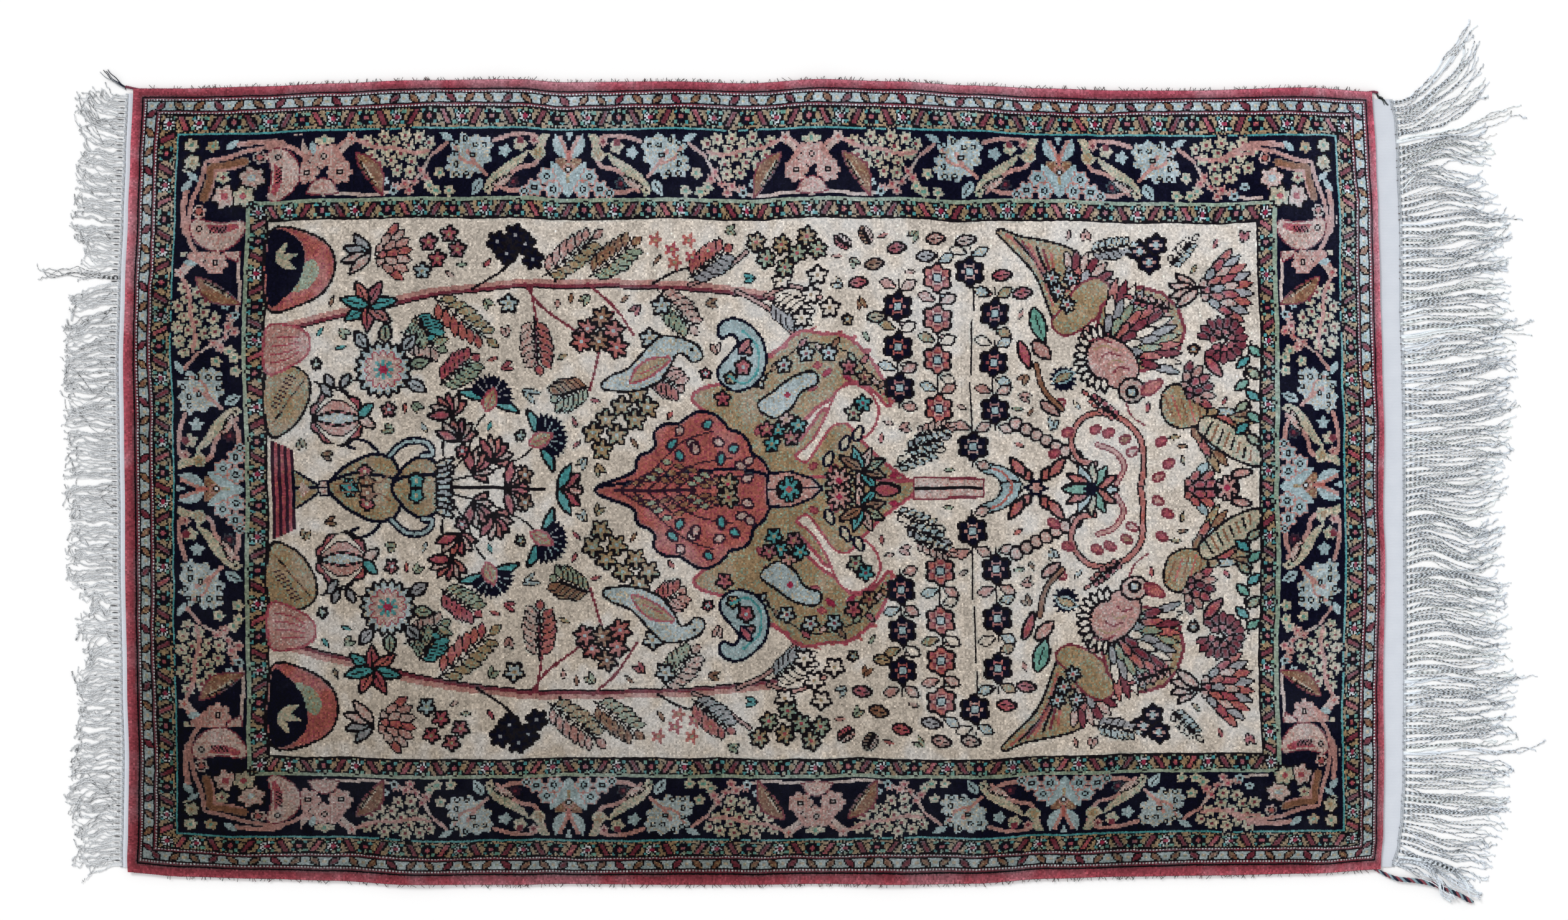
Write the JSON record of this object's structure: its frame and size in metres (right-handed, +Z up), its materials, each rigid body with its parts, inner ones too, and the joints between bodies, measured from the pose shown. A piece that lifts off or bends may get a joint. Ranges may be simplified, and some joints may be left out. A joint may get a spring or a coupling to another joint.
{
  "type": "silk prayer rug",
  "caption": "Hand-knotted silk prayer rug with a niche field, patterned borders, plain-woven ends, overcast sides and warp fringes, lying flat.",
  "frame": {"origin": "middle of the whole rug with its fringes, on the floor", "axes": "+X along the rug's length, from the foot of the design to its head; +Y across the rug; +Z up out of the pile"},
  "size_m": [1.4916, 0.8646, 0.0069],
  "materials": {
    "silk_pile": "short cut silk pile in many colours, with a soft sheen that turns with the nap",
    "warp_weave": "plain weave of undyed white warps and fine wefts, matte",
    "binding_yarn": "overcast rose-red, navy and pale blue yarn, matte",
    "fringe_warp": "loose twisted white warp ends, matte with a slight gloss"
  },
  "bodies": {
    "root": {"rug_body": "silk_pile", "kilim_end_right": "warp_weave", "kilim_end_left": "warp_weave", "selvedge_upper": "binding_yarn", "selvedge_lower": "binding_yarn", "fringe_right": "fringe_warp", "fringe_left": "fringe_warp"}
  },
  "joints": []
}
